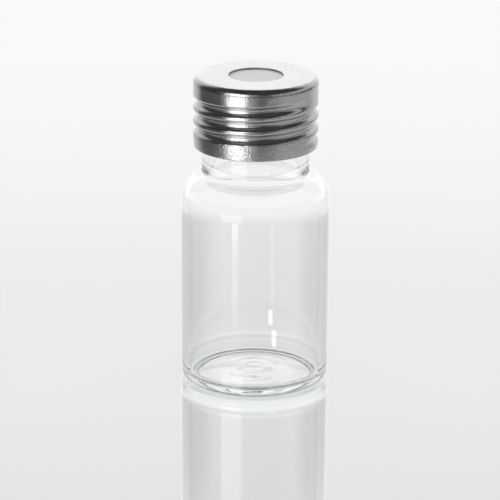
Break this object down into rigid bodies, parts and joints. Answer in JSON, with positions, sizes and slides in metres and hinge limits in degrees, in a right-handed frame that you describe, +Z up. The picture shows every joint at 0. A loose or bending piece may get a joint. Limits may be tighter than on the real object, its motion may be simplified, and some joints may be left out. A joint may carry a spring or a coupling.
{
  "type": "glass sample vial",
  "caption": "Clear cylindrical glass vial with rounded shoulder and screw neck, closed by a plated steel screw cap with rolled thread and centre hole over a disc septum.",
  "frame": {"origin": "centre of the ring on which the vial stands, on the table", "axes": "+Z up along the vial's axis, from the floor of the vial to the cap; +X to the right and +Y away when the start of the rolled thread is at the front right"},
  "size_m": [0.0226, 0.0226, 0.0476],
  "materials": {
    "clear_glass": "clear, polished",
    "septum_rubber": "smooth, matt",
    "plated_steel": "bright plating over fine-grained steel"
  },
  "bodies": {
    "vial": {"vial": "clear_glass"},
    "septum": {"septum": "septum_rubber"},
    "cap": {"cap": "plated_steel"}
  },
  "joints": [
    {"name": "septum_lift", "type": "slide", "parent": "vial", "child": "septum", "axis": [0, 0, 1], "range_m": [0, 0.0105]},
    {"name": "cap_turn", "type": "hinge", "parent": "septum", "child": "cap", "pos_m": [0, 0, 0.042], "axis": [0, 0, 1], "range_deg": [0, 1800]}
  ],
  "couplings": [
    {"joint": "septum_lift", "follows": "cap_turn", "m_per_rad": 0.00033104}
  ]
}
